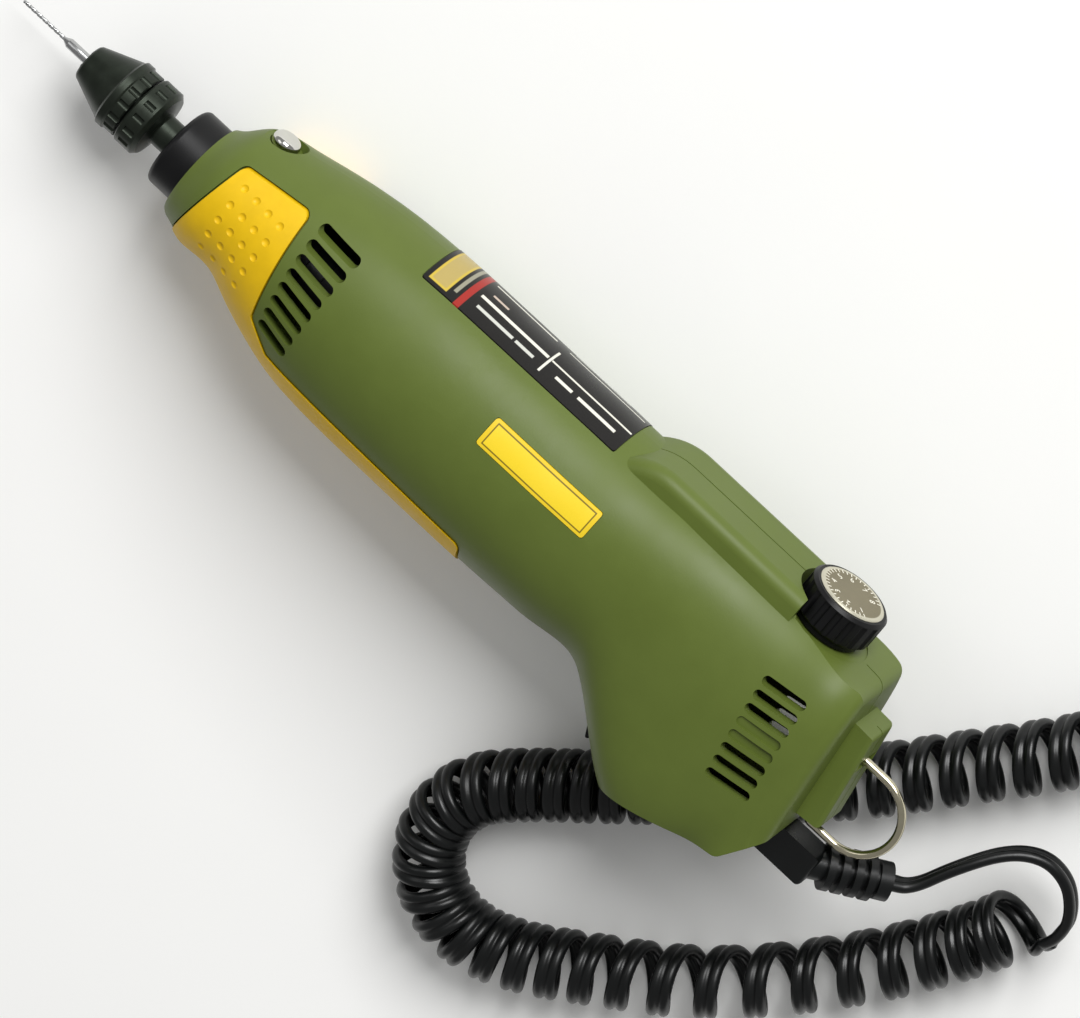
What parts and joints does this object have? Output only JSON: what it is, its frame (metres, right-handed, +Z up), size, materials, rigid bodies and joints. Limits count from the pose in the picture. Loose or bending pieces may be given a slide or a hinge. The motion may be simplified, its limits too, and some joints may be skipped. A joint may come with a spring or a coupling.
{
  "type": "precision drill grinder",
  "caption": "Hand-held drill grinder with a slim two-part housing, clamping collar, keyless chuck, spindle lock, speed knob, hanging bail and curly cord.",
  "frame": {"origin": "floor under the middle of the tool as it lies on its right flank, cord left out", "axes": "+X from the chuck towards the rear, +Z up, out of the left flank; +Y to the tool's back"},
  "size_m": [0.3113, 0.2461, 0.0557],
  "materials": {
    "housing_green": "fine moulded grain, satin",
    "grip_yellow": "soft moulded elastomer",
    "plate_black": "printed foil",
    "badge_yellow": "printed foil",
    "zinc_steel": "zinc plated",
    "black_nylon": "satin moulded",
    "spring_steel": "drawn wire",
    "bearing_steel": "ground",
    "bright_steel": "ground",
    "blackened_steel": "black oxide, oiled",
    "chrome": "polished",
    "bronze": "sintered",
    "ferrite": "pressed and ground",
    "core_iron": "stacked laminations",
    "copper": "enamelled wire and drawn bar",
    "brass": "pressed",
    "board_green": "laminate",
    "aluminium": "extruded",
    "dial_grey": "brushed and anodised",
    "cord_rubber": "smooth extruded"
  },
  "bodies": {
    "housing": {"bearing_retainer": "spring_steel", "brush_holders": "brass", "brush_springs": "spring_steel", "capacitor": "black_nylon", "carbon_brushes": "ferrite", "circuit_board": "board_green", "cord_curls": "cord_rubber", "cord_lead": "cord_rubber", "cord_tail": "cord_rubber", "front_bearing_balls": "bearing_steel", "front_bearing_outer": "bearing_steel", "grip_left": "grip_yellow", "grip_right": "grip_yellow", "heat_sink": "aluminium", "housing_left": "housing_green", "housing_right": "housing_green", "housing_screws": "zinc_steel", "motor_can": "zinc_steel", "motor_end_cap": "black_nylon", "motor_front_bush": "bronze", "motor_magnets": "ferrite", "motor_rear_bush": "bronze", "name_plate": "badge_yellow", "nose_collar": "black_nylon", "plug_body": "black_nylon", "plug_pins": "brass", "potentiometer": "zinc_steel", "rating_plate": "plate_black", "rear_bearing_balls": "bearing_steel", "rear_bearing_outer": "bearing_steel", "strain_relief": "cord_rubber", "switch_body": "black_nylon"},
    "rotor": {"spindle": "bright_steel", "front_bearing_inner": "bearing_steel", "rear_bearing_inner": "bearing_steel", "chuck_body": "blackened_steel", "drill_bit": "bright_steel", "coupling_front": "black_nylon", "coupling_spider": "cord_rubber", "coupling_rear": "black_nylon", "cooling_fan": "black_nylon", "motor_shaft": "bright_steel", "armature_core": "core_iron", "armature_windings": "copper", "commutator": "copper"},
    "chuck_sleeve": {"chuck_sleeve": "blackened_steel"},
    "chuck_jaw_1": {"chuck_jaw_1": "bright_steel"},
    "chuck_jaw_2": {"chuck_jaw_2": "bright_steel"},
    "chuck_jaw_3": {"chuck_jaw_3": "bright_steel"},
    "lock_button": {"lock_button": "chrome", "lock_spring": "spring_steel"},
    "speed_knob": {"speed_knob": "black_nylon", "knob_dial": "dial_grey", "potentiometer_shaft": "bright_steel"},
    "switch_rocker": {"switch_rocker": "black_nylon"},
    "hanging_bail": {"hanging_bail": "chrome"}
  },
  "joints": [
    {"name": "spindle_spin", "type": "hinge", "parent": "housing", "child": "rotor", "pos_m": [-0.08039, 0.00347, 0.01641], "axis": [0.9942, 0, 0.108], "continuous": true},
    {"name": "chuck_sleeve_twist", "type": "hinge", "parent": "rotor", "child": "chuck_sleeve", "pos_m": [-0.10624, 0.00347, 0.0136], "axis": [0.9942, 0, 0.108], "range_deg": [0, 720]},
    {"name": "chuck_jaw_1_slide", "type": "slide", "parent": "rotor", "child": "chuck_jaw_1", "axis": [0.9646, 0.2419, 0.1048], "range_m": [0, 0.0016]},
    {"name": "chuck_jaw_2_slide", "type": "slide", "parent": "rotor", "child": "chuck_jaw_2", "axis": [0.942, -0.121, 0.3131], "range_m": [0, 0.0016]},
    {"name": "chuck_jaw_3_slide", "type": "slide", "parent": "rotor", "child": "chuck_jaw_3", "axis": [0.9872, -0.121, -0.1035], "range_m": [0, 0.0016]},
    {"name": "lock_press", "type": "slide", "parent": "housing", "child": "lock_button", "axis": [0, -1, 0], "range_m": [0, 0.0026], "stiffness_N_per_m": 400, "springref_m": -0.003},
    {"name": "speed_knob_turn", "type": "hinge", "parent": "housing", "child": "speed_knob", "pos_m": [0.08603, 0.02947, 0.03449], "axis": [0, 1, 0], "range_deg": [0, 280]},
    {"name": "switch_rock", "type": "hinge", "parent": "housing", "child": "switch_rocker", "pos_m": [0.06389, -0.02381, 0.03208], "axis": [-0.108, 0, 0.9942], "range_deg": [0, 15]},
    {"name": "bail_swing", "type": "hinge", "parent": "housing", "child": "hanging_bail", "pos_m": [0.10949, -0.00213, 0.03704], "axis": [0, 1, 0], "range_deg": [-58, 58]}
  ],
  "couplings": [
    {"joint": "chuck_jaw_1_slide", "follows": "chuck_sleeve_twist", "m_per_rad": 0.00012732},
    {"joint": "chuck_jaw_2_slide", "follows": "chuck_sleeve_twist", "m_per_rad": 0.00012732},
    {"joint": "chuck_jaw_3_slide", "follows": "chuck_sleeve_twist", "m_per_rad": 0.00012732}
  ]
}
